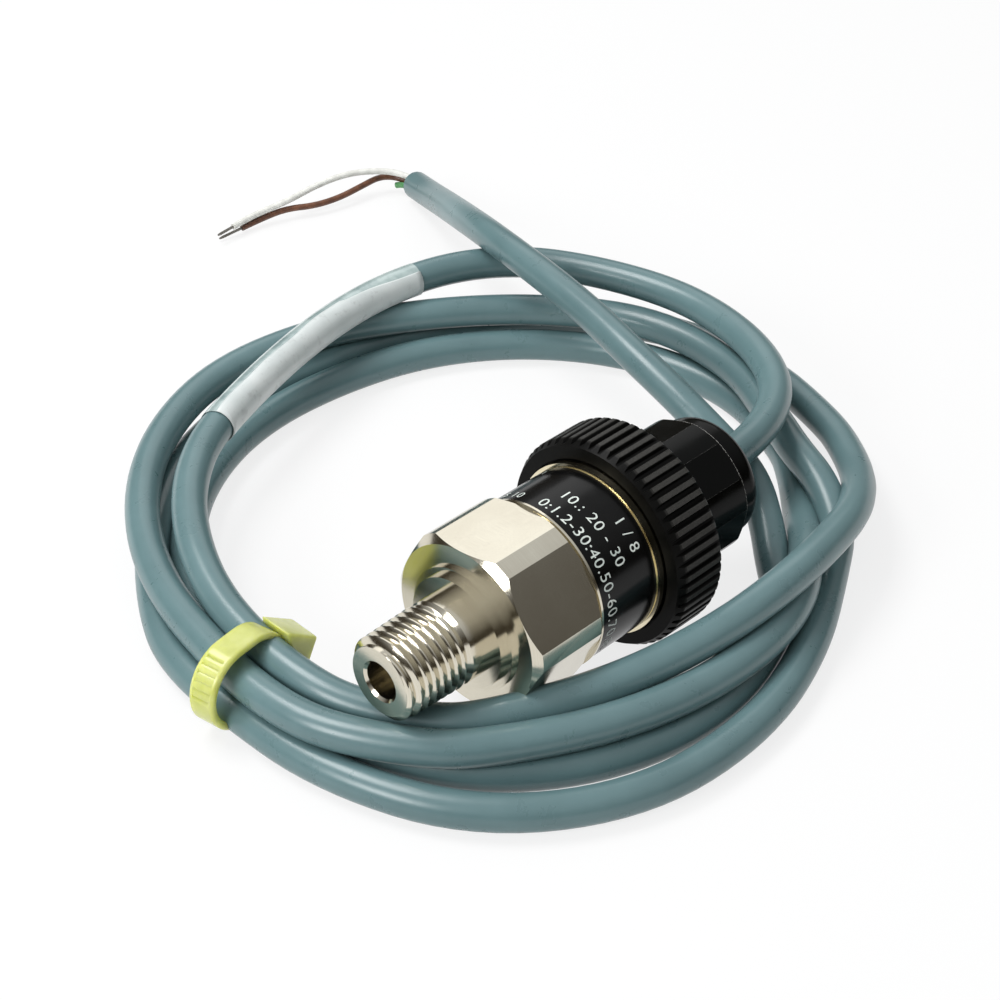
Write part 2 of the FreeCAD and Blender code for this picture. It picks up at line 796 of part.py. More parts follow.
fingers = turned(
    "gland_clamp",
    [
        ("fingers_front", "cable_radius + slide_gap"),
        ("fingers_front", "fingers_radius"),
        ("cage_rear - slide_gap", "fingers_radius"),
        ("fingers_rear", "fingers_radius - (fingers_rear - cage_rear + slide_gap)"),
        ("fingers_rear", "cable_radius + slide_gap"),
    ],
)
slot_outline = [
    ("-finger_slot / 2", "cable_radius / 2"),
    ("finger_slot / 2", "cable_radius / 2"),
    ("finger_slot / 2", "cap_cage_radius"),
    ("-finger_slot / 2", "cap_cage_radius"),
]
slot = pocket(
    fingers,
    "finger_slot_cut",
    lambda sketch: polygon(sketch, slot_outline),
    "fingers_rear",
    "(fingers_rear - fingers_front) * 0.7",
)
around(fingers, slot, "finger_count")

# ------------------------------------------------------------------ cable

jacket_start = value("jacket_front - overall_length / 2")
cap_exit = value("cap_rear - overall_length / 2")
axis_height = value("axis_height")

# From inside the gland, out of the cap and once round on top of the coil.
exit_route = [
    (jacket_start, 0, axis_height),
    (cap_exit - 1.0, 0, axis_height),
    (47.4, 1.2, 17.4),
    (58.4, 5, 16.4),
    (67.3, 12, 15.4),
    (73.8, 22, 14.6),
    (77.3, 33, 14.3),
    (77.8, 45, 14.2),
    (74.3, 59, 14.2),
    (67.3, 71, 14.2),
    (56.9, 79.5, 14.2),
    (43.4, 83, 14.2),
    (29.4, 82.5, 14.2),
    (15.4, 79.5, 14.2),
    (1.4, 75, 14.2),
    (-11.6, 69.5, 14.2),
    (-22.1, 61, 14.2),
    (-30.1, 51, 14.2),
    (-36.1, 39.5, 13.9),
    (-40.1, 27, 13.5),
    (-41.6, 15, 13.1),
]
exit_edges = cord("cable_exit", exit_route, value("cable_radius"))

# The coiled turns, as one solid with the outline of the bundle.
coil_outside = [
    (-35.1, -22.5),
    (-25.6, -30),
    (-11.6, -35.5),
    (4.4, -37.3),
    (19.4, -35.2),
    (35.4, -29.5),
    (50.4, -20.5),
    (64.3, -10.5),
    (75.3, 0.5),
    (83.3, 12.5),
    (87.3, 27),
    (86.8, 42),
    (82.3, 54),
    (73.3, 65.5),
    (61.4, 76.5),
    (47.4, 85),
    (31.4, 92),
    (15.4, 95.5),
    (-0.6, 91.5),
    (-14.6, 83),
    (-26.1, 72),
    (-35.6, 58.5),
    (-42.1, 44),
    (-46.5, 30),
    (-48, 15),
    (-46.2, 0),
    (-42.1, -12),
]
coil_inside = [
    (-34.1, 13),
    (-33.1, 2.5),
    (-28.6, -6.5),
    (-21.6, -13),
    (-12.6, -15.6),
    (-2.6, -16.6),
    (7.4, -18.2),
    (18.4, -18.8),
    (28.4, -16.6),
    (38.4, -12),
    (48.4, -5.5),
    (57.9, 3),
    (65.3, 11.5),
    (70.8, 22),
    (72.2, 34),
    (69.8, 45.5),
    (63.4, 56.5),
    (54.4, 65.5),
    (43.4, 72),
    (30.4, 76),
    (17.4, 76.5),
    (4.4, 74.5),
    (-8.1, 69),
    (-19.1, 60.5),
    (-27.6, 49),
    (-33.1, 37),
    (-35.4, 25),
]


def flat_face(corners):
    """A face on the floor, bounded by runs and arcs."""
    edges, radii = rounded_route([(x, y, 0) for x, y in corners], closed=True)
    return Part.Face(Part.Wire(edges))


coil_base = flat_face(coil_outside).cut(flat_face(coil_inside))
coil_block = coil_base.extrude(Vector(0, 0, value("coil_height")))
level_edges = [edge for edge in coil_block.Edges if edge.BoundBox.ZLength < TOUCH]
soft_solid("cable_coil", coil_block.makeFillet(value("coil_round"), level_edges))

# Out of the coil, up over its top turn and down to the cut end.
tail_route = [
    (40.4, -14.5, 5),
    (45.4, -7, 6.5),
    (48.9, 1, 9.9),
    (49.6, 10, 13.5),
    (50.4, 20, 17),
    (52.4, 31, 19.5),
    (55.4, 43, 20.6),
    (59.9, 56, 21),
    (65.3, 69, 20.6),
    (71.3, 82, 18),
    (77.3, 95, 13),
    (83.3, 108, 7.6),
    (87.8, 117, 4.6),
    (90.6, 125.2, 3.1),
]
tail_edges = cord("cable_tail", tail_route, value("cable_radius"))

# Stripped cores: the white one arches over the brown one, the green one is cut short.
white_route = [
    (90.4, 125.85, 4.2),
    (90.2, 129.6, 4.3),
    (87.6, 134, 4.4),
    (82.8, 137, 4.5),
    (76.3, 138.6, 4.5),
    (69.3, 139.2, 4.3),
    (62.4, 139, 3.6),
    (56.4, 138.4, 2.8),
    (51.4, 137.8, 2.2),
]
brown_route = [
    (91.4, 125.2, 2.6),
    (91.3, 129.8, 2.4),
    (88.8, 134.6, 2.2),
    (83.8, 138.2, 2.1),
    (77, 140.2, 2),
    (69.8, 140.6, 1.9),
    (63.2, 139.8, 1.7),
    (57.4, 138.4, 1.5),
    (52.8, 137, 1.3),
]
green_route = [(89.3, 125.7, 2.4), (89.1, 128.4, 1.7), (89.7, 131, 1.1)]
white_edges = cord("core_white", white_route, value("lead_radius"))
brown_edges = cord("core_brown", brown_route, value("lead_radius"))
cord("core_green", green_route, value("lead_radius"))


def bare_tip(label, edges, length):
    """The tinned wire that stands out of a core."""
    last = edges[-1]
    end = last.valueAt(last.LastParameter)
    ahead = last.tangentAt(last.LastParameter)
    soft_solid(label, Part.makeCylinder(value("tip_radius"), length, end, ahead))


bare_tip("tip_white", white_edges, value("white_tip_length"))
bare_tip("tip_brown", brown_edges, value("brown_tip_length"))

# The label is wrapped round the top turn at the back: four runs and the arcs after them.
label_edges = exit_edges[20:28]
soft_solid(
    "cable_label",
    tube(label_edges, value("label_bore + label_wall"), value("label_bore")),
)

# ------------------------------------------------------------------ cable tie

# The band lies square to the bundle, which it holds at its narrowest place.
band_half_width = value("band_half_width")
band_half_height = value("band_half_height")
tie_centre = Vector(-41.5, 25, band_half_height + value("open_gap"))
tie_turn = 8.0


def band_block(inset, width):
    """A rounded block that is square to the bundle."""
    across = 2 * (band_half_width - inset)
    upright = 2 * (band_half_height - inset)
    block = Part.makeBox(across, width, upright, Vector(-across / 2, -width / 2, -upright / 2))
    corner = value("strap_corner") + value("strap_thickness") - inset
    long_edges = [edge for edge in block.Edges if edge.BoundBox.YLength > width - TOUCH]
    return block.makeFillet(corner, long_edges)


strap_width = value("strap_width")
band = band_block(0.0, strap_width).cut(band_block(value("strap_thickness"), 2 * strap_width))
tie_placement = Placement(tie_centre, Rotation(Vector(0, 0, 1), tie_turn))
strap = soft_solid("tie_strap", band)
strap.Placement = tie_placement

tie_head = doc.addObject("Part::Box", "tie_head")
tie_head.setExpression("Length", bound("head_length"))
tie_head.setExpression("Width", bound("head_width"))
tie_head.setExpression("Height", bound("head_height"))
head_corner = Vector(
    band_half_width - value("strap_corner"), -value("head_width") / 2, band_half_height
)
tie_head.Placement = tie_placement.multiply(Placement(head_corner, Rotation()))
sub_parts.append(tie_head)

# ------------------------------------------------------------------ checks and export

doc.recompute()

for item in doc.Objects:
    if "Invalid" in item.State or "Error" in item.State:
        raise RuntimeError(f"{item.Label} failed: {item.State}")
for item in sub_parts:
    if item.Shape.isNull() or not item.Shape.isValid():
        raise RuntimeError(f"{item.Label} has no valid shape")

os.makedirs("parts", exist_ok=True)
for item in sub_parts:
    item.Shape.exportStep(f"parts/{item.Label}.step")

for label, (radius, length, ratio) in cord_radii.items():
    print(f"{label}: least bend radius {radius:.1f}, length {length:.1f}, volume ratio {ratio:.4f}")
print(len(sub_parts), "sub-parts")
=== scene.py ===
import math

import bmesh
import bpy
from mathutils import Euler, Matrix, Vector


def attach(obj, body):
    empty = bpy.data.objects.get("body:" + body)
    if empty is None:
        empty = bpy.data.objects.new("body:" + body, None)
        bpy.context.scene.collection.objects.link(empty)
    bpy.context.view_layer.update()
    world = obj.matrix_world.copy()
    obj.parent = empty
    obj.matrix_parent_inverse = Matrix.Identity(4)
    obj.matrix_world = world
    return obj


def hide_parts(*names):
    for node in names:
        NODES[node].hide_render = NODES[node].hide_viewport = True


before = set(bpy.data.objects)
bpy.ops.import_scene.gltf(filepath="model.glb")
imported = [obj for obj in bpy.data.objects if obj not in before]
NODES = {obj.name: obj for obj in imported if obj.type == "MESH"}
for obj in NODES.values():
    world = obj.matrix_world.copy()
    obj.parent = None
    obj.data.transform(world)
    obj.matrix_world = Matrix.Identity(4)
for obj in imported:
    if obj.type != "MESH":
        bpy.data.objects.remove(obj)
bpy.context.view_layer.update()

MM = 0.001

# In millimetres, as all the shapes below: the height of the sensor's axis, which runs along x,
# and the place of the port's tip, from which stations along the sensor are counted.
AXIS_Z = 17.6
TIP_X = -36.65


def point(x, y, z):
    """A place in the frame, from millimetres."""
    return Vector((x * MM, y * MM, z * MM))


def link(obj, body="transmitter"):
    """Puts a new piece into the scene, riding on a body."""
    bpy.context.scene.collection.objects.link(obj)
    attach(obj, body)
    return obj


# ------------------------------------------------------------------ camera

CAMERA_LENS = 80.64
CAMERA_SENSOR = 36.0
CAMERA_PLACE = (-0.1984, -0.1823, 0.2234)
CAMERA_TILT = 54.4
CAMERA_TURN = -45.6

camera_data = bpy.data.cameras.new("camera")
camera_data.lens = CAMERA_LENS
camera_data.sensor_width = CAMERA_SENSOR
camera_data.clip_start = 0.01
camera = bpy.data.objects.new("camera", camera_data)
camera.location = CAMERA_PLACE
camera.rotation_euler = Euler((math.radians(CAMERA_TILT), 0.0, math.radians(CAMERA_TURN)))
bpy.context.scene.collection.objects.link(camera)
bpy.context.scene.camera = camera

# ------------------------------------------------------------------ cable, cores and their routes

CABLE_RADIUS = 2.9
CORE_RADIUS = 0.65

# From inside the gland, out of the cap and once round on top of the coil.
EXIT_ROUTE = [
    (20.9, 0, 17.6), (35.65, 0, 17.6), (47.4, 1.2, 17.4), (58.4, 5, 16.4), (67.8, 11.6, 15.4),
    (74.8, 21.7, 14.6), (78.6, 32.9, 14.3), (79.5, 45.6, 14.2), (75.8, 60.3, 14.2),
    (69.2, 73.2, 14.2), (58.1, 81.3, 14.2), (43.6, 84.2, 14.2), (29.4, 83.1, 14.2),
    (15.4, 79.7, 14.2), (1.4, 75, 14.2), (-11.6, 69.5, 14.2), (-22.1, 61, 14.2),
    (-29.8, 51, 13.2), (-35.0, 39.4, 11.2),
    (-37.3, 27, 9.8), (-37.5, 15.5, 9.0),
]
# Out of the coil, in a long hump over the top strand, and down to the cut end.
TAIL_ROUTE = [
    (38.4, -12.2, 4.2), (43.9, -6.2, 6.6), (48.9, 1, 9.9), (49.6, 10, 13.5), (50.4, 20, 17),
    (51.9, 31, 19.5), (54.9, 43, 20.9), (57.5, 55, 21.6), (60.2, 66.5, 21.5), (64.4, 78.4, 19.9),
    (71.4, 91.7, 15.6), (80.6, 106.6, 9.4), (87, 117.3, 5), (90.4, 125.1, 3.1),
]
# The cores outside the jacket.
WHITE_ROUTE = [
    (90.4, 125.85, 4.2), (89.6, 129.4, 4.8), (85.8, 132.9, 5.4), (80.1, 135.9, 5.6),
    (73, 137.3, 5), (66.2, 137.7, 4.1), (61.2, 139.1, 3.3), (56.6, 139.9, 2.7), (52.4, 139.6, 2.5),
]
BROWN_ROUTE = [
    (91.2, 125.3, 2.6), (90.6, 130, 3), (87.4, 132.9, 3.5), (82, 133, 3.1), (76.2, 133.5, 2.4),
    (70.4, 134.9, 2.2), (65.4, 137.7, 2.4), (60.6, 139.3, 1.7), (54.8, 139.8, 1.2),
]
GREEN_ROUTE = [(89.6, 125.7, 2.6), (89.7, 128.3, 2.5), (89.1, 129.9, 1.8)]

# The turns of the coil: angle round its middle in degrees, distance from the middle and height.
COIL_MIDDLE = (18, 27)
TOP_TURN = [
    (200, 57.2, 8.1), (212, 56.4, 7.4), (220, 55.7, 8.2), (240, 52.8, 10.7), (260, 51.3, 12.8),
    (280, 51.9, 14.1), (300, 54.4, 12.1), (310, 56.6, 10.2), (320, 58.6, 7.8), (330, 60.1, 6.3),
]
OUTER_TURN = [
    (340, 62.0, 5.2), (0, 66.8, 3.8), (20, 68.8, 3.8), (40, 66.6, 3.8), (60, 63.8, 3.3),
    (80, 61.4, 3.1), (100, 60.6, 3.1), (120, 60.4, 3.1), (140, 59.7, 3.1), (160, 61.6, 3.1),
    (170, 62.6, 3.1), (180, 62.8, 3.1), (200, 66.9, 3.1), (220, 71.0, 3.1), (240, 69.2, 3.1),
    (260, 62.8, 3.1), (280, 56.6, 3.1), (300, 53.4, 3.1), (310, 54.1, 4.7), (320, 52.2, 7.9),
    (330, 50.0, 8.9),
]
MIDDLE_TURN = [
    (340, 50.9, 9.0), (0, 57.6, 8.8), (20, 61.8, 8.8), (40, 60.8, 8.7), (60, 61.0, 8.6),
    (80, 63.4, 8.6), (100, 65.0, 8.6), (120, 63.2, 8.6), (140, 61.2, 8.6), (160, 60.2, 8.6),
    (180, 60.9, 8.5), (191, 62.8, 8.4), (200, 63.9, 8.4), (212, 63.2, 8.5), (220, 62.4, 8.6),
    (240, 58.6, 8.6), (260, 55.6, 8.6), (280, 53.4, 8.5), (300, 49.3, 7.3), (310, 48.0, 5.0),
]
INNER_TURN = [
    (320, 48.6, 3.3), (330, 50.4, 3.1), (340, 52.9, 3.1), (0, 57.2, 3.1), (20, 58.4, 3.1),
    (40, 57.8, 3.1), (60, 56.6, 3.1), (80, 54.6, 3.1), (100, 54.6, 3.1), (120, 54.4, 3.1),
    (140, 54.2, 3.1), (160, 55.4, 3.1), (180, 57.0, 3.1), (200, 60.4, 3.1), (220, 62.4, 3.1),
    (240, 60.6, 3.1), (260, 56.2, 3.1), (280, 50.4, 3.1), (290, 47.2, 3.1),
]


def coil_points(turn):
    """The places of a turn, one after another round the coil."""
    places = []
    for angle, distance, height in turn:
        along = math.radians(angle)
        x = COIL_MIDDLE[0] + distance * math.cos(along)
        y = COIL_MIDDLE[1] + distance * math.sin(along)
        places.append((x, y, height))
    return places


def spline_curve(name, places, radius, resolution=6):
    """A round cord on one smooth open spline, whose points carry the cord's radius."""
    curve = bpy.data.curves.new(name, "CURVE")
    curve.dimensions = "3D"
    spline = curve.splines.new("NURBS")
    spline.points.add(len(places) - 1)
    for spot, place in zip(spline.points, places):
        spot.co = (*point(*place), 1.0)
        spot.radius = radius * MM
    spline.order_u = 3
    spline.use_endpoint_u = True
    curve.resolution_u = resolution
    curve.bevel_depth = 1.0 if radius > 0 else 0.0
    curve.bevel_resolution = 7
    curve.use_fill_caps = radius > 0
    return curve


def centre_line(name, places, resolution=12):
    """The points that a spline runs through, read from a curve with no thickness."""
    curve = spline_curve(name, places, 0.0, resolution)
    obj = bpy.data.objects.new(name, curve)
    bpy.context.scene.collection.objects.link(obj)
    bpy.context.view_layer.update()
    depsgraph = bpy.context.evaluated_depsgraph_get()
    mesh = bpy.data.meshes.new_from_object(obj.evaluated_get(depsgraph))
    line = [vertex.co.copy() for vertex in mesh.vertices]
    bpy.data.objects.remove(obj)
    bpy.data.curves.remove(curve)
    bpy.data.meshes.remove(mesh)
    return line


CABLE_POINTS = EXIT_ROUTE[:]
for coil_turn in (TOP_TURN, OUTER_TURN, MIDDLE_TURN, INNER_TURN):
    CABLE_POINTS += coil_points(coil_turn)
CABLE_POINTS += TAIL_ROUTE


def cord_piece(name, places, radius, node_names, resolution=6):
    """A cord as a piece that stands for its CAD solids."""
    curve = spline_curve(name, places, radius, resolution)
    piece = link(bpy.data.objects.new(name, curve))
    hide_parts(*node_names)
    return piece


cable = cord_piece(
    "cable", CABLE_POINTS, CABLE_RADIUS, ("cable_exit", "cable_coil", "cable_tail"), 8
)
white_core = cord_piece("white_core", WHITE_ROUTE, CORE_RADIUS, ("core_white",))
brown_core = cord_piece("brown_core", BROWN_ROUTE, CORE_RADIUS, ("core_brown",))
green_core = cord_piece("green_core", GREEN_ROUTE, CORE_RADIUS, ("core_green",))

cable_line = centre_line("cable_line", CABLE_POINTS)
white_line = centre_line("white_line", WHITE_ROUTE)
brown_line = centre_line("brown_line", BROWN_ROUTE)

# ------------------------------------------------------------------ mesh helpers


def mesh_piece(name, mesh, body="transmitter", sharp=35):
    """A finished mesh as a piece, smooth apart from its sharp edges."""
    work = bmesh.new()
    work.from_mesh(mesh)
    bmesh.ops.recalc_face_normals(work, faces=work.faces)
    for face in work.faces:
        face.smooth = True
    for edge in work.edges:
        if len(edge.link_faces) == 2:
            edge.smooth = edge.calc_face_angle() < math.radians(sharp)
    work.to_mesh(mesh)
    work.free()
    piece = link(bpy.data.objects.new(name, mesh), body)
    return piece


def grid_mesh(name, rows, closed_rows=False, closed_columns=False, caps=False):
    """A mesh through rows of points, each row as long as the others."""
    mesh = bpy.data.meshes.new(name)
    width = len(rows[0])
    points = [spot for row in rows for spot in row]
    faces = []
    for row in range(len(rows) if closed_rows else len(rows) - 1):
        following = (row + 1) % len(rows)
        for column in range(width if closed_columns else width - 1):
            beside = (column + 1) % width
            faces.append(
                (row * width + column, row * width + beside,
                 following * width + beside, following * width + column)
            )
    if caps:
        faces.append(tuple(range(width))[::-1])
        faces.append(tuple((len(rows) - 1) * width + column for column in range(width)))
    mesh.from_pydata(points, [], faces)
    mesh.update()
    return mesh


def frames_along(line):
    """A sideways and an upright direction at each point of a line."""
    frames = []
    for index, spot in enumerate(line):
        before = line[max(index - 1, 0)]
        after = line[min(index + 1, len(line) - 1)]
        ahead = (after - before).normalized()
        side = ahead.cross(Vector((0, 0, 1))).normalized()
        frames.append((spot, side, side.cross(ahead).normalized()))
    return frames


def nearest(line, place):
    return min(range(len(line)), key=lambda index: (line[index] - place).length)


# ------------------------------------------------------------------ process thread

THREAD_PITCH = 1.411
THREAD_TAPER = 0.03125
CREST_AT_TIP = 6.60
ROOT_AT_TIP = 5.58
THREAD_FIRST = 0.2
THREAD_LAST = 11.7
SINK = 0.03
RISE_TURNS = 0.45
RUN_OUT = 0.5
TURN_STEPS = 96

# The ridge's section: along the axis in millimetres, and its share of the way from root to crest.
RIDGE = [(-0.68, 0.0), (-0.17, 0.93), (-0.09, 1.0), (0.09, 1.0), (0.17, 0.93), (0.68, 0.0)]


def thread_rows():
    """Sections of the thread's ridge, one after another along the helix."""
    rows = []
    count = int((THREAD_LAST - THREAD_FIRST) / THREAD_PITCH * TURN_STEPS)
    for step in range(count + 1):
        turn = step / TURN_STEPS
        station = THREAD_FIRST + turn * THREAD_PITCH
        rise_in = min(1.0, turn / RISE_TURNS)
        rise_out = min(1.0, (THREAD_LAST - station) / RUN_OUT)
        height = max(0.02, min(rise_in, rise_out))
        root = ROOT_AT_TIP + station * THREAD_TAPER - SINK
        crest = root + (CREST_AT_TIP - ROOT_AT_TIP + SINK) * height
        angle = 2 * math.pi * turn
        row = []
        for along, up in RIDGE:
            radius = root + (crest - root) * up
            x = TIP_X + max(station + along, 0.02)
            row.append(point(x, -radius * math.sin(angle), AXIS_Z + radius * math.cos(angle)))
        rows.append(row)
    return rows


thread = mesh_piece("port_thread", grid_mesh("port_thread", thread_rows()))

# ------------------------------------------------------------------ numbers on the sleeve

MARK_RADIUS = 13.87


def wrapped(name, mesh, station, turn):
    """Lays a flat drawing round the sleeve: its x runs round, its y along the axis."""
    for vertex in mesh.vertices:
        angle = math.radians(turn) + vertex.co.x / MARK_RADIUS
        x = TIP_X + station + vertex.co.y
        y = -MARK_RADIUS * math.sin(angle)
        z = AXIS_Z + MARK_RADIUS * math.cos(angle)
        vertex.co = point(x, y, z)
    return mesh_piece(name, mesh)


def number_row(name, words, size, station, turn):
    """A row of plain numbers."""
    curve = bpy.data.curves.new(name, "FONT")
    curve.body = words
    curve.size = size
    curve.space_character = 1.12
    obj = bpy.data.objects.new(name, curve)
    bpy.context.scene.collection.objects.link(obj)
    bpy.context.view_layer.update()
    depsgraph = bpy.context.evaluated_depsgraph_get()
    mesh = bpy.data.meshes.new_from_object(obj.evaluated_get(depsgraph))
    bpy.data.objects.remove(obj)
    work = bmesh.new()
    work.from_mesh(mesh)
    bmesh.ops.triangulate(work, faces=work.faces)
    bmesh.ops.subdivide_edges(
        work, edges=[edge for edge in work.edges if edge.calc_length() > 0.5], cuts=2
    )
    bmesh.ops.triangulate(work, faces=work.faces)
    work.to_mesh(mesh)
    work.free()
    return wrapped(name, mesh, station, turn)


# Each row: its words, their size, its station along the sensor and its turn from the top.
number_rows = [
    number_row("sleeve_numbers_a", "0 5 10", 2.2, 33.0, -44),
    number_row("sleeve_numbers_b", "0:1.2-30:40.50-60.70:80 90", 2.8, 33.0, -4),
    number_row("sleeve_numbers_c", "10.: 20 - 30", 2.8, 36.6, 0),
    number_row("sleeve_numbers_d", "1 / 8", 2.8, 40.2, 34),
    number_row("sleeve_numbers_e", "0 1", 1.6, 41.4, -42),
]

# ------------------------------------------------------------------ label on the cable

LABEL_FIRST = point(49, 81.4, 14.2)
LABEL_LAST = point(-7.6, 71, 14.2)
LABEL_RADIUS = 3.10
LABEL_THICKNESS = 0.12
LABEL_START = -200
LABEL_STOP = -2
LABEL_RAGGED = 34
RAGGED_SHARE = 0.32
FILM_RADIUS = 3.02


def label_rows(line, radius, start, stop, steps, ragged=0.0):
    """Sections of a wrap between two angles round the cable, counted from its top.

    With ragged, in degrees, the open edge falls back towards the first end and waves a little.
    """
    rows = []
    for index, (spot, side, up) in enumerate(frames_along(line)):
        share = index / (len(line) - 1)
        shortened = ragged * max(0.0, 1.0 - share / RAGGED_SHARE) ** 0.5
        shortened += 0.12 * ragged * math.sin(19.0 * share) * math.sin(7.0 * share + 1.0)
        row = []
        for step in range(steps + 1):
            angle = math.radians(start + (stop - shortened - start) * step / steps)
            row.append(spot + (side * math.sin(angle) + up * math.cos(angle)) * radius * MM)
        rows.append(row)
    return rows


top_strand = cable_line[:len(cable_line) // 3]
first = nearest(top_strand, LABEL_FIRST)
last = nearest(top_strand, LABEL_LAST)
label_line = cable_line[first:last + 1]
wrap = label_rows(label_line, LABEL_RADIUS, LABEL_START, LABEL_STOP, 36, ragged=LABEL_RAGGED)
label = mesh_piece("label_wrap", grid_mesh("label_wrap", wrap))
thickness = label.modifiers.new("thickness", "SOLIDIFY")
thickness.thickness = LABEL_THICKNESS * MM
thickness.offset = 0.0
film_rows = label_rows(label_line, FILM_RADIUS, 0, 360, 60)
film = mesh_piece("label_film", grid_mesh("label_film", film_rows))
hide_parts("cable_label")

# ------------------------------------------------------------------ cut end and bare tips

FILLER_RADIUS = 2.35
FILLER_LIFT = 0.14
FILLER_CROWN = 0.08
WIRES_LOBE = 0.24
WIRES_RIDGE = 0.06
WIRES_TWIST = 1.1


def end_turn(line):
    """The turn from upright to the direction in which a line ends."""
    return Vector((0, 0, 1)).rotation_difference((line[-1] - line[-3]).normalized())


def cut_disc(name, steps=6, spokes=40):
    """A slightly domed disc on the cut end of the cable."""
    turn = end_turn(cable_line)
    rows = []
    for step in range(steps + 1):
        share = step / steps
        row = []
        for spoke in range(spokes):
            angle = 2 * math.pi * spoke / spokes
            out = FILLER_RADIUS * share
            lift = FILLER_LIFT - FILLER_CROWN * share ** 3
            spot = Vector((math.cos(angle) * out, math.sin(angle) * out, lift))
            row.append(cable_line[-1] + turn @ (spot * MM))
        rows.append(row)
    return mesh_piece(name, grid_mesh(name, rows, closed_columns=True), sharp=80)


filler = cut_disc("cable_filler")


def twisted_tip(name, line, length, node_name, steps=36, spokes=42):
    """Fine tinned wires, twisted together, out of the end of a core."""
    turn = end_turn(line)
    rows = []
    for step in range(steps + 1):
        share = step / steps
        row = []
        for spoke in range(spokes):
            angle = 2 * math.pi * spoke / spokes
            lobe = WIRES_LOBE + WIRES_RIDGE * abs(math.cos(3.5 * angle))
            taper = 1.0 - 0.35 * max(0.0, share - 0.86) / 0.14
            out = lobe * taper
            twisted = angle + share * length * WIRES_TWIST
            spot = Vector((math.cos(twisted) * out, math.sin(twisted) * out, share * length))
            row.append(line[-1] + turn @ (spot * MM))
        rows.append(row)
    mesh = grid_mesh(name, rows, closed_columns=True, caps=True)
    piece = mesh_piece(name, mesh)
    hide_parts(node_name)
    return piece


white_tip = twisted_tip("white_tip", white_line, 4.2, "tip_white")
brown_tip = twisted_tip("brown_tip", brown_line, 5.6, "tip_brown")

# ------------------------------------------------------------------ cable tie

TIE_HALF_WIDTH = 8.6
TIE_HALF_HEIGHT = 6.95
TIE_CORNER = 6.9
TIE_WIDTH = 4.7
TIE_WALL = 1.2
TIE_TURN = Matrix.Rotation(math.radians(8), 4, "Z")
TIE_PLACE = Matrix.Translation(point(-42.3, 25, 7.45)) @ TIE_TURN
TIE_STEP = 0.3
TOOTH_DEPTH = 0.22
HEAD_OUTLINE = [(-35.0, 13.1), (-29.0, 9.1), (-31.2, 4.8), (-34.4, 8.3)]
HEAD_MIDDLE_Y = 25
HEAD_ENDS = [(21.9, 0.94), (28.1, 1.0)]
HEAD_EDGE = 0.5


def loop_outline(steps):
    """Places and outward directions round a rounded rectangle, from the middle of its top."""
    outline = []
    run_x = TIE_HALF_WIDTH - TIE_CORNER
    run_z = TIE_HALF_HEIGHT - TIE_CORNER
    corners = [
        (run_x, run_z, 90), (run_x, -run_z, 0), (-run_x, -run_z, -90), (-run_x, run_z, -180),
    ]
    for middle_x, middle_z, start in corners:
        for step in range(steps + 1):
            angle = math.radians(start - 90 * step / steps)
            outward = Vector((math.cos(angle), 0, math.sin(angle)))
            outline.append((Vector((middle_x, 0, middle_z)) + outward * TIE_CORNER, outward))
    finer = []
    for (here, out_here), (there, out_there) in zip(outline, outline[1:] + outline[:1]):
        pieces = max(1, round((there - here).length / TIE_STEP))
        for part in range(pieces):
            share = part / pieces
            outward = out_here.lerp(out_there, share).normalized()
            finer.append((here.lerp(there, share), outward))
    return finer


def strap_rows():
    """Sections of the band, with rounded edges and grooves between teeth on its upper left."""
    rows = []
    half = TIE_WIDTH / 2
    for index, (spot, outward) in enumerate(loop_outline(16)):
        toothed = spot.x < -3.0 and 0.0 < spot.z < 6.3
        depth = TOOTH_DEPTH if toothed and index % 4 == 0 else 0.0
        section = [
            (-half + 0.25, -TIE_WALL), (-half, -TIE_WALL + 0.25), (-half, -0.3), (-half + 0.3, 0.0),
            (-half + 0.7, 0.0), (-half + 0.75, -depth), (half - 0.75, -depth), (half - 0.7, 0.0),
            (half - 0.3, 0.0), (half, -0.3), (half, -TIE_WALL + 0.25), (half - 0.25, -TIE_WALL),
        ]
        row = []
        for across, out in section:
            row.append(TIE_PLACE @ ((spot + outward * out + Vector((0, across, 0))) * MM))
        rows.append(row)
    return rows


strap = mesh_piece(
    "tie_band",
    grid_mesh("tie_band", strap_rows(), closed_rows=True, closed_columns=True),
    sharp=50,
)
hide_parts("tie_strap")


def tie_head_mesh():
    """A slightly tapered block with rounded edges at the band's inner upper corner."""
    count = len(HEAD_OUTLINE)
    middle_x = sum(x for x, z in HEAD_OUTLINE) / count
    middle_z = sum(z for x, z in HEAD_OUTLINE) / count
    middle = Vector((middle_x, HEAD_MIDDLE_Y, middle_z))
    work = bmesh.new()
    ends = []
    for y, share in HEAD_ENDS:
        end = []
        for x, z in HEAD_OUTLINE:
            away = Vector(((x - middle_x) * share, y - HEAD_MIDDLE_Y, (z - middle_z) * share))
            end.append(work.verts.new(middle + away))
        ends.append(end)
    for index in range(count):
        following = (index + 1) % count
        work.faces.new((ends[0][index], ends[0][following], ends[1][following], ends[1][index]))
    work.faces.new(ends[0][::-1])
    work.faces.new(ends[1])
    bmesh.ops.recalc_face_normals(work, faces=work.faces)
    bmesh.ops.bevel(
        work, geom=work.edges[:], offset=HEAD_EDGE, segments=3, affect="EDGES", profile=0.6
    )
    for vertex in work.verts:
        vertex.co = vertex.co * MM
    mesh = bpy.data.meshes.new("tie_block")
    work.to_mesh(mesh)
    work.free()
    return mesh


head = mesh_piece("tie_block", tie_head_mesh(), sharp=40)
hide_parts("tie_head")

# ------------------------------------------------------------------ materials


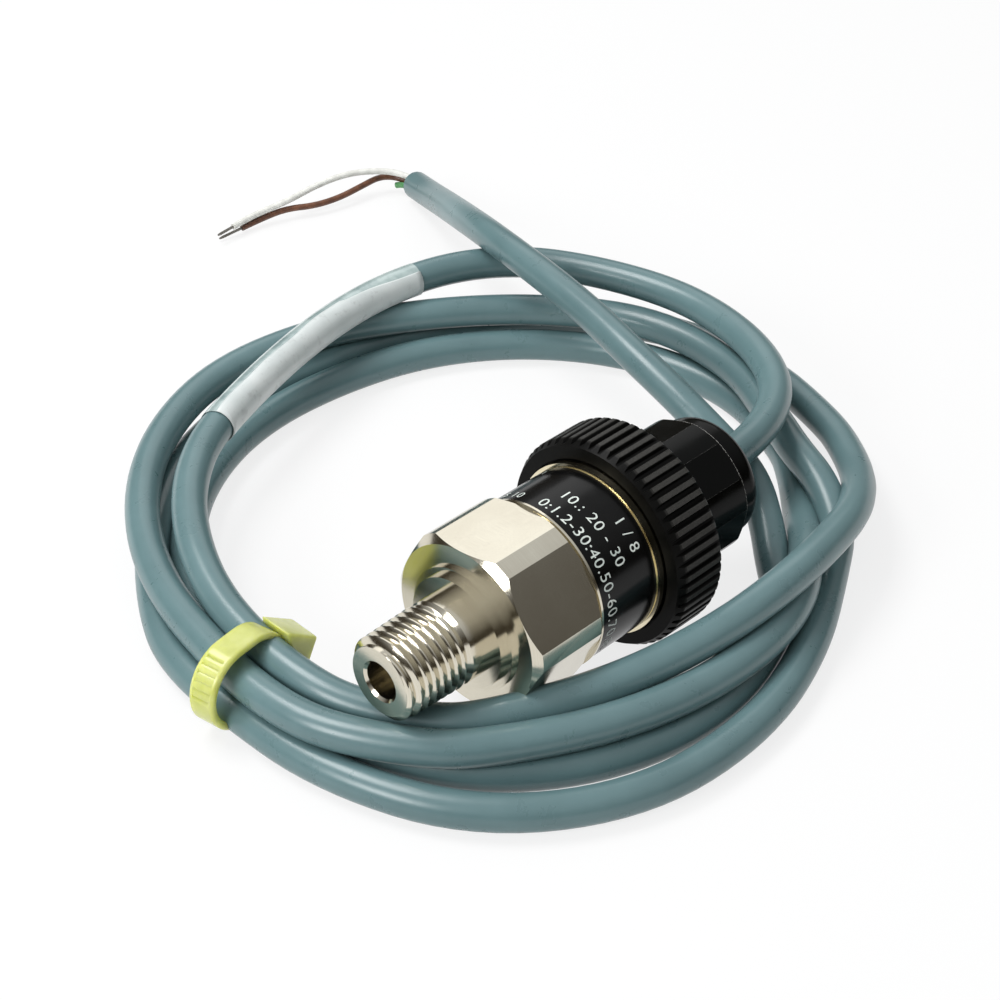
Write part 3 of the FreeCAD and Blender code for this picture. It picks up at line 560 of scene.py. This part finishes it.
def put(tree, kind, inputs=None, **settings):
    """A new node, with its settings and with numbers or links on its inputs."""
    item = tree.nodes.new(kind)
    for name, content in settings.items():
        setattr(item, name, content)
    for name, content in (inputs or {}).items():
        if isinstance(content, bpy.types.NodeSocket):
            tree.links.new(content, item.inputs[name])
        else:
            item.inputs[name].default_value = content
    return item


def linear(red, green, blue):
    """A colour as it is seen, 0 to 255, in the shader's own units."""
    channels = []
    for seen in (red, green, blue):
        if seen <= 10:
            channels.append(seen / 255 / 12.92)
        else:
            channels.append(((seen / 255 + 0.055) / 1.055) ** 2.4)
    return (*channels, 1.0)


def new_material(name, **inputs):
    """A material with its shader, and the place on the object in millimetres."""
    material = bpy.data.materials.new(name)
    material.use_nodes = True
    tree = material.node_tree
    shader = tree.nodes["Principled BSDF"]
    for key, content in inputs.items():
        shader.inputs[key.replace("_", " ")].default_value = content
    place = put(tree, "ShaderNodeTexCoord").outputs["Object"]
    scaled = put(tree, "ShaderNodeVectorMath", {0: place, "Scale": 1000.0}, operation="SCALE")
    return material, tree, shader, scaled.outputs["Vector"]


def noise(tree, where, scale, detail=3.0, roughness=0.55, stretch=None):
    """A cloudy value from 0 to 1."""
    if stretch:
        moved = put(tree, "ShaderNodeVectorMath", {0: where, 1: stretch}, operation="MULTIPLY")
        where = moved.outputs["Vector"]
    inputs = {"Vector": where, "Scale": scale, "Detail": detail, "Roughness": roughness}
    return put(tree, "ShaderNodeTexNoise", inputs).outputs["Fac"]


def band(tree, value, low, high, out_low=0.0, out_high=1.0):
    """A value brought from one range to another and held inside it."""
    inputs = {
        "Value": value, "From Min": low, "From Max": high, "To Min": out_low, "To Max": out_high,
    }
    return put(tree, "ShaderNodeMapRange", inputs).outputs["Result"]


def sums(tree, operation, first, second=0.0, third=0.0):
    """The result of a sum, which Blender calls a Math node."""
    item = put(tree, "ShaderNodeMath", {0: first, 1: second, 2: third}, operation=operation)
    return item.outputs["Value"]


def blended(tree, share, first, second):
    """One colour going over into another."""
    item = put(tree, "ShaderNodeMix", data_type="RGBA")
    for index, content in ((0, share), (6, first), (7, second)):
        socket = item.inputs[index]
        if isinstance(content, bpy.types.NodeSocket):
            tree.links.new(content, socket)
        else:
            socket.default_value = content
    return item.outputs[2]


def relief(tree, shader, height, strength, distance):
    """Bumps in the surface, with their depth in metres."""
    inputs = {"Height": height, "Strength": strength, "Distance": distance}
    bump = put(tree, "ShaderNodeBump", inputs)
    tree.links.new(bump.outputs["Normal"], shader.inputs["Normal"])


def axis_radius(tree, where):
    """Distance from the sensor's axis, and x along it, in millimetres."""
    parts = put(tree, "ShaderNodeSeparateXYZ", {"Vector": where})
    lifted = sums(tree, "SUBTRACT", parts.outputs["Z"], AXIS_Z)
    across = sums(tree, "POWER", parts.outputs["Y"], 2.0)
    squares = sums(tree, "ADD", across, sums(tree, "POWER", lifted, 2.0))
    return sums(tree, "SQRT", squares), parts.outputs["X"]


def edge_highlight_mask(tree, radius, low, high):
    """1 along the edges of a shape and 0 away from them, where a highlight is painted."""
    rounded = put(tree, "ShaderNodeBevel", {"Radius": radius}, samples=8).outputs["Normal"]
    plain = put(tree, "ShaderNodeNewGeometry").outputs["Normal"]
    inputs = {0: rounded, 1: plain}
    meeting = put(tree, "ShaderNodeVectorMath", inputs, operation="DOT_PRODUCT")
    return band(tree, meeting.outputs["Value"], high, low)


def ring_places(tree, where):
    """Places that are the same all round the sensor, so that noise makes rings of them."""
    radius, along = axis_radius(tree, where)
    inputs = {"X": along, "Y": radius, "Z": 0.0}
    return put(tree, "ShaderNodeCombineXYZ", inputs).outputs["Vector"]


def turned_metal(name, light, dark, roughness):
    """Metal off a lathe: fine rings, faint clouds and a few rubbed patches."""
    material, tree, shader, where = new_material(name, Metallic=1.0)
    fine = noise(tree, ring_places(tree, where), 9.0, 4.0, 0.7)
    clouds = noise(tree, where, 0.35, 4.0, 0.6)
    scratches = noise(tree, where, 1.0, 2.0, 0.5, stretch=(0.25, 7.0, 7.0))
    tone = sums(tree, "MULTIPLY_ADD", fine, 0.35, sums(tree, "MULTIPLY", clouds, 0.65))
    colour = blended(tree, band(tree, tone, 0.3, 0.7), dark, light)
    tree.links.new(colour, shader.inputs["Base Color"])
    rough = sums(tree, "MULTIPLY_ADD", clouds, 0.12, roughness - 0.06)
    rough = sums(tree, "MULTIPLY_ADD", band(tree, scratches, 0.62, 0.7), 0.10, rough)
    tree.links.new(rough, shader.inputs["Roughness"])
    relief(tree, shader, fine, 0.35, 0.000006)
    return material


def moulded(
    name, colour, roughness, grain=2.5, depth=0.00001, edge_highlight=None, tone=0.25, edge_highlight_share=0.5,
    gloss=0.5,
):
    """Moulded plastic: fine grain, slightly uneven gloss and, if asked, a painted highlight: a
    paler colour along its edges.
    """
    material, tree, shader, where = new_material(name)
    shader.inputs["Specular IOR Level"].default_value = gloss
    clouds = noise(tree, where, 0.22, 4.0, 0.6)
    fine = noise(tree, where, grain, 3.0, 0.6)
    darker = tuple(c * (1 - tone) for c in colour[:3]) + (1.0,)
    surface = blended(tree, band(tree, clouds, 0.35, 0.65), darker, colour)
    # Painted highlight: the edges get a paler colour, as if they caught the light.
    if edge_highlight:
        edges = edge_highlight_mask(tree, 0.0003, 0.90, 0.995)
        rubbed_and_sheen = sums(tree, "MULTIPLY", edges, band(tree, fine, 0.35, 0.6))
        surface = blended(tree, sums(tree, "MULTIPLY", rubbed_and_sheen, edge_highlight_share), surface, edge_highlight)
    tree.links.new(surface, shader.inputs["Base Color"])
    rough = sums(tree, "MULTIPLY_ADD", clouds, 0.16, roughness - 0.08)
    tree.links.new(rough, shader.inputs["Roughness"])
    relief(tree, shader, fine, 0.5, depth)
    return material


def steel_material():
    """Bright turned steel: crisp rings, long faint rubs and a slightly warm tone."""
    material, tree, shader, where = new_material("steel_surface", Metallic=1.0)
    fine = noise(tree, ring_places(tree, where), 9.0, 3.0, 0.6)
    clouds = noise(tree, where, 0.12, 3.0, 0.5)
    rubs = noise(tree, where, 1.0, 3.0, 0.5, stretch=(0.2, 6.0, 6.0))
    tone = sums(tree, "MULTIPLY_ADD", fine, 0.5, sums(tree, "MULTIPLY", clouds, 0.5))
    light = linear(224, 219, 203)
    colour = blended(tree, band(tree, tone, 0.3, 0.7), linear(206, 199, 182), light)
    tree.links.new(colour, shader.inputs["Base Color"])
    rough = sums(tree, "MULTIPLY_ADD", band(tree, rubs, 0.55, 0.75), 0.07, 0.13)
    tree.links.new(rough, shader.inputs["Roughness"])
    relief(tree, shader, fine, 0.35, 0.000005)
    return material


# Stations along the sensor, and radii from its axis, at which a surface changes.
SLEEVE_BARE_TO = 32.02
SLEEVE_BARE_FROM = 43.72
NUT_FRONT = 46.6
RIB_RUBBED_FROM = 17.42
RIB_RUBBED_FULL = 17.56


def sleeve_material():
    """Black gloss with the bare metal showing in a thin line at both ends."""
    material, tree, shader, where = new_material("sleeve_surface")
    along = axis_radius(tree, where)[1]
    clouds = noise(tree, where, 0.3, 4.0, 0.6)
    specks = noise(tree, where, 6.0, 2.0, 0.5)
    port_end = sums(tree, "LESS_THAN", along, TIP_X + SLEEVE_BARE_TO)
    nut_end = sums(tree, "GREATER_THAN", along, TIP_X + SLEEVE_BARE_FROM)
    bare = sums(tree, "ADD", port_end, nut_end)
    black = blended(tree, band(tree, clouds, 0.35, 0.7), linear(7, 7, 7), linear(13, 13, 13))
    tree.links.new(blended(tree, bare, black, linear(226, 222, 205)), shader.inputs["Base Color"])
    tree.links.new(bare, shader.inputs["Metallic"])
    rough = sums(tree, "MULTIPLY_ADD", clouds, 0.08, 0.14)
    shader.inputs["Specular IOR Level"].default_value = 0.19
    tree.links.new(rough, shader.inputs["Roughness"])
    relief(tree, shader, specks, 0.15, 0.000004)
    return material


def nut_material():
    """Matt black plastic, rubbed paler along the crests of the ribs."""
    material, tree, shader, where = new_material("nut_surface")
    radius, along = axis_radius(tree, where)
    clouds = noise(tree, where, 0.3, 4.0, 0.6)
    fine = noise(tree, where, 4.0, 3.0, 0.6)
    crest = band(tree, radius, RIB_RUBBED_FROM, RIB_RUBBED_FULL)
    front = sums(tree, "LESS_THAN", along, TIP_X + NUT_FRONT)
    behind = sums(tree, "SUBTRACT", 1.0, sums(tree, "MULTIPLY", front, 0.6))
    crest = sums(tree, "MULTIPLY", crest, behind)
    rubbed_and_sheen = sums(tree, "MULTIPLY", crest, band(tree, fine, 0.25, 0.6, 0.55, 1.0))
    body = blended(tree, band(tree, clouds, 0.35, 0.65), linear(8, 8, 7), linear(14, 14, 13))
    colour = blended(tree, sums(tree, "MULTIPLY", rubbed_and_sheen, 0.45), body, linear(92, 91, 88))
    tree.links.new(colour, shader.inputs["Base Color"])
    rough = sums(tree, "MULTIPLY_ADD", clouds, 0.12, 0.30)
    shader.inputs["Specular IOR Level"].default_value = 0.06
    tree.links.new(rough, shader.inputs["Roughness"])
    relief(tree, shader, fine, 0.4, 0.000012)
    return material


def cable_material():
    """Grey-blue jacket: soft gloss, slow tone changes, faint rubbing and a few dark smudges."""
    material, tree, shader, where = new_material("cable_surface")
    clouds = noise(tree, where, 0.03, 3.0, 0.5)
    patches = noise(tree, where, 0.25, 4.0, 0.6)
    fine = noise(tree, where, 3.0, 3.0, 0.6)
    dirt = noise(tree, where, 0.16, 6.0, 0.75)
    tone = sums(tree, "MULTIPLY_ADD", clouds, 0.75, sums(tree, "MULTIPLY", patches, 0.25))
    light = linear(98, 125, 128)
    base = blended(tree, band(tree, tone, 0.35, 0.65), linear(86, 112, 115), light)
    smudge = sums(tree, "MULTIPLY", band(tree, dirt, 0.72, 0.83), band(tree, fine, 0.2, 0.5))
    base = blended(tree, sums(tree, "MULTIPLY", smudge, 0.30), base, linear(44, 52, 52))
    tree.links.new(base, shader.inputs["Base Color"])
    rough = sums(tree, "MULTIPLY_ADD", patches, 0.12, 0.23)
    tree.links.new(rough, shader.inputs["Roughness"])
    relief(tree, shader, patches, 0.15, 0.00006)
    return material


# Dark spots near the label's ends: x, y and size.
LABEL_SPOTS = [(-1.6, 67.8, 1.3), (-4.2, 66.6, 0.8), (33.7, 75.7, 1.1), (37.0, 76.9, 0.8)]
LABEL_SPOT_Z = 15.6


def label_material():
    """White label sleeve with slight wrinkles, pencil-grey smudges and dark specks."""
    material, tree, shader, where = new_material("label_surface")
    clouds = noise(tree, where, 0.12, 3.0, 0.5)
    smears = noise(tree, where, 0.45, 5.0, 0.7)
    specks = noise(tree, where, 1.1, 3.0, 0.6)
    light = linear(214, 219, 218)
    base = blended(tree, band(tree, clouds, 0.3, 0.7), linear(196, 203, 202), light)
    grey = sums(tree, "MULTIPLY", band(tree, smears, 0.56, 0.74), 0.5)
    base = blended(tree, grey, base, linear(150, 152, 152))
    dark = sums(tree, "MULTIPLY", band(tree, specks, 0.72, 0.76), 0.7)
    for x, y, size in LABEL_SPOTS:
        inputs = {0: where, 1: (x, y, LABEL_SPOT_Z)}
        away = put(tree, "ShaderNodeVectorMath", inputs, operation="DISTANCE").outputs["Value"]
        away = sums(tree, "MULTIPLY_ADD", smears, 1.6, away)
        spot = sums(tree, "MULTIPLY", band(tree, away, size + 2.3, size + 1.4), 0.75)
        dark = sums(tree, "MAXIMUM", dark, spot)
    base = blended(tree, dark, base, linear(60, 62, 62))
    tree.links.new(base, shader.inputs["Base Color"])
    shader.inputs["Roughness"].default_value = 0.34
    relief(tree, shader, smears, 0.3, 0.00008)
    return material


def film_material():
    """Clear film over the jacket: paler and glossier than the cable."""
    material, tree, shader, where = new_material("film_surface")
    clouds = noise(tree, where, 0.2, 3.0, 0.6)
    light = linear(168, 184, 182)
    base = blended(tree, band(tree, clouds, 0.35, 0.65), linear(120, 140, 140), light)
    tree.links.new(base, shader.inputs["Base Color"])
    shader.inputs["Roughness"].default_value = 0.12
    shader.inputs["Coat Weight"].default_value = 0.6
    relief(tree, shader, clouds, 0.4, 0.0001)
    return material


def tie_material():
    """Yellow-green nylon that light passes into, cloudy and softly glossy."""
    material, tree, shader, where = new_material("tie_surface")
    clouds = noise(tree, where, 0.35, 3.0, 0.5)
    light = linear(200, 204, 130)
    base = blended(tree, band(tree, clouds, 0.3, 0.7), linear(184, 189, 104), light)
    tree.links.new(base, shader.inputs["Base Color"])
    shader.inputs["Subsurface Weight"].default_value = 0.85
    shader.inputs["Subsurface Radius"].default_value = (1.0, 1.0, 0.35)
    shader.inputs["Subsurface Scale"].default_value = 0.003
    rough = sums(tree, "MULTIPLY_ADD", clouds, 0.12, 0.17)
    tree.links.new(rough, shader.inputs["Roughness"])
    relief(tree, shader, clouds, 0.4, 0.00006)
    return material


def core_material(name, dark, light):
    """Thin insulation, a little mottled, with small nicks."""
    material, tree, shader, where = new_material(name)
    clouds = noise(tree, where, 0.6, 4.0, 0.6)
    base = blended(tree, band(tree, clouds, 0.35, 0.65), dark, light)
    tree.links.new(base, shader.inputs["Base Color"])
    rough = sums(tree, "MULTIPLY_ADD", clouds, 0.15, 0.30)
    tree.links.new(rough, shader.inputs["Roughness"])
    relief(tree, shader, clouds, 0.2, 0.00001)
    return material


def board_material():
    """Green laminate with the faint square lines of its tracks."""
    material, tree, shader, where = new_material("board_surface", Roughness=0.35)
    inputs = {"Vector": where, "Scale": 0.7}
    cells = put(tree, "ShaderNodeTexVoronoi", inputs, distance="MANHATTAN").outputs["Distance"]
    tracks = band(tree, cells, 0.18, 0.22)
    base = blended(tree, tracks, linear(60, 120, 70), linear(28, 84, 48))
    tree.links.new(base, shader.inputs["Base Color"])
    relief(tree, shader, tracks, 0.3, 0.00003)
    return material


BY_SLOT = {
    "stainless_steel": steel_material(),
    "black_gloss_sleeve": sleeve_material(),
    "gold_brass": turned_metal(
        "gold_surface", linear(244, 236, 210), linear(230, 216, 180), 0.14
    ),
    "matte_black_plastic": nut_material(),
    # The near-white along the cap's edges is a painted highlight.
    "gloss_black_plastic": moulded(
        "cap_surface", linear(5, 6, 5), 0.18, edge_highlight=linear(214, 212, 206), depth=0.000005,
        edge_highlight_share=0.9, gloss=0.10
    ),
    # The paler grey along these edges is a painted highlight.
    "black_plastic": moulded("inner_plastic", linear(34, 34, 35), 0.42, edge_highlight=linear(80, 80, 80)),
    "slip_nylon": moulded("slip_surface", linear(206, 200, 184), 0.40),
    "black_rubber": moulded(
        "rubber_surface", linear(28, 28, 28), 0.60, grain=3.5, depth=0.00003
    ),
    "white_ceramic": moulded("ceramic_surface", linear(232, 230, 222), 0.30, tone=0.06),
    "green_laminate": board_material(),
    "chip_black": moulded("chip_surface", linear(32, 32, 34), 0.50, grain=5.0, depth=0.00002),
    "gold_contact": turned_metal(
        "contact_surface", linear(228, 188, 104), linear(196, 150, 70), 0.2
    ),
    "cable_grey": cable_material(),
    "core_white": core_material(
        "core_white_surface", linear(206, 206, 200), linear(228, 228, 222)
    ),
    "core_brown": core_material("core_brown_surface", linear(84, 52, 36), linear(112, 72, 50)),
    "core_green": core_material("core_green_surface", linear(70, 130, 80), linear(96, 152, 98)),
    "tinned_copper": turned_metal(
        "tinned_surface", linear(150, 146, 140), linear(110, 106, 100), 0.3
    ),
    "label_white": label_material(),
    "tie_yellow": tie_material(),
}


def dress(obj, material):
    """Gives a piece its one finish."""
    data = obj.data
    if data.materials:
        for index in range(len(data.materials)):
            data.materials[index] = material
    else:
        data.materials.append(material)


for node in NODES.values():
    for entry in node.material_slots:
        slot_name = entry.material.name.split(".")[0] if entry.material else ""
        if slot_name in BY_SLOT:
            entry.material = BY_SLOT[slot_name]

filler_surface = core_material(
    "filler_surface", linear(120, 124, 122), linear(150, 152, 148)
)
mark_surface = core_material("mark_surface", linear(196, 206, 200), linear(226, 232, 226))
FINISHES = [
    (BY_SLOT["cable_grey"], [cable]),
    (BY_SLOT["core_white"], [white_core]),
    (BY_SLOT["core_brown"], [brown_core]),
    (BY_SLOT["core_green"], [green_core]),
    (BY_SLOT["tinned_copper"], [white_tip, brown_tip]),
    (BY_SLOT["stainless_steel"], [thread]),
    (BY_SLOT["label_white"], [label]),
    (BY_SLOT["tie_yellow"], [strap, head]),
    (film_material(), [film]),
    (filler_surface, [filler]),
    (mark_surface, number_rows),
]
for finish, pieces in FINISHES:
    for piece in pieces:
        dress(piece, finish)

# ------------------------------------------------------------------ floor, lights and background

scene = bpy.context.scene
scene.view_settings.view_transform = "Standard"


def background_share(tree):
    """1 for rays that come from the camera, a mirror or glass."""
    path = put(tree, "ShaderNodeLightPath").outputs
    seen = sums(tree, "MAXIMUM", path["Is Camera Ray"], path["Is Transmission Ray"])
    return sums(tree, "MAXIMUM", seen, path["Is Glossy Ray"])


FLOOR_GLOW = 0.80
FLOOR_REACH = 30.0


def floor_material():
    """Pale floor that keeps a soft shadow."""
    material = bpy.data.materials.new("floor_surface")
    material.use_nodes = True
    tree = material.node_tree
    tree.nodes.remove(tree.nodes["Principled BSDF"])
    output = tree.nodes["Material Output"]
    matt = put(tree, "ShaderNodeBsdfDiffuse", {"Color": (0.76, 0.76, 0.76, 1.0)})
    glow = put(tree, "ShaderNodeEmission", {"Color": (1.0, 1.0, 1.0, 1.0), "Strength": 1.0})
    share = sums(tree, "MULTIPLY", background_share(tree), FLOOR_GLOW)
    mixed = put(tree, "ShaderNodeMixShader", {0: share, 1: matt.outputs[0], 2: glow.outputs[0]})
    tree.links.new(mixed.outputs[0], output.inputs["Surface"])
    return material


floor_mesh = bpy.data.meshes.new("floor")
floor_corners = [
    (x * FLOOR_REACH, y * FLOOR_REACH, 0) for x, y in ((-1, -1), (1, -1), (1, 1), (-1, 1))
]
floor_mesh.from_pydata(floor_corners, [], [(0, 1, 2, 3)])
floor = bpy.data.objects.new("floor", floor_mesh)
scene.collection.objects.link(floor)
floor_mesh.materials.append(floor_material())

world = bpy.data.worlds.new("world")
scene.world = world
world.use_nodes = True
tree = world.node_tree
place = put(tree, "ShaderNodeTexCoord").outputs["Generated"]
height = put(tree, "ShaderNodeSeparateXYZ", {"Vector": place}).outputs["Z"]
low_room = (0.055, 0.047, 0.035, 1.0)
high_room = (0.68, 0.69, 0.70, 1.0)
room = blended(tree, band(tree, height, 0.18, 0.80), low_room, high_room)
tree.links.new(room, tree.nodes["Background"].inputs["Color"])
tree.nodes["Background"].inputs["Strength"].default_value = 1.0


def soft_lamp(name, place, target, width, height, power):
    """A rectangular lamp that looks at a place."""
    lamp = bpy.data.lights.new(name, "AREA")
    lamp.shape = "RECTANGLE"
    lamp.size = width
    lamp.size_y = height
    lamp.energy = power
    obj = bpy.data.objects.new(name, lamp)
    obj.location = place
    direction = Vector(target) - Vector(place)
    obj.rotation_euler = direction.to_track_quat("-Z", "Y").to_euler()
    scene.collection.objects.link(obj)


soft_lamp("top_lamp", (-0.15, 0.35, 0.75), (0.02, 0.04, 0.0), 0.40, 0.30, 4.4)
soft_lamp("side_lamp", (-0.75, 0.05, 0.45), (0.02, 0.04, 0.0), 0.32, 0.30, 4.0)
soft_lamp("back_lamp", (0.56, 0.55, 0.58), (0.02, 0.02, 0.02), 0.75, 0.42, 0.95)
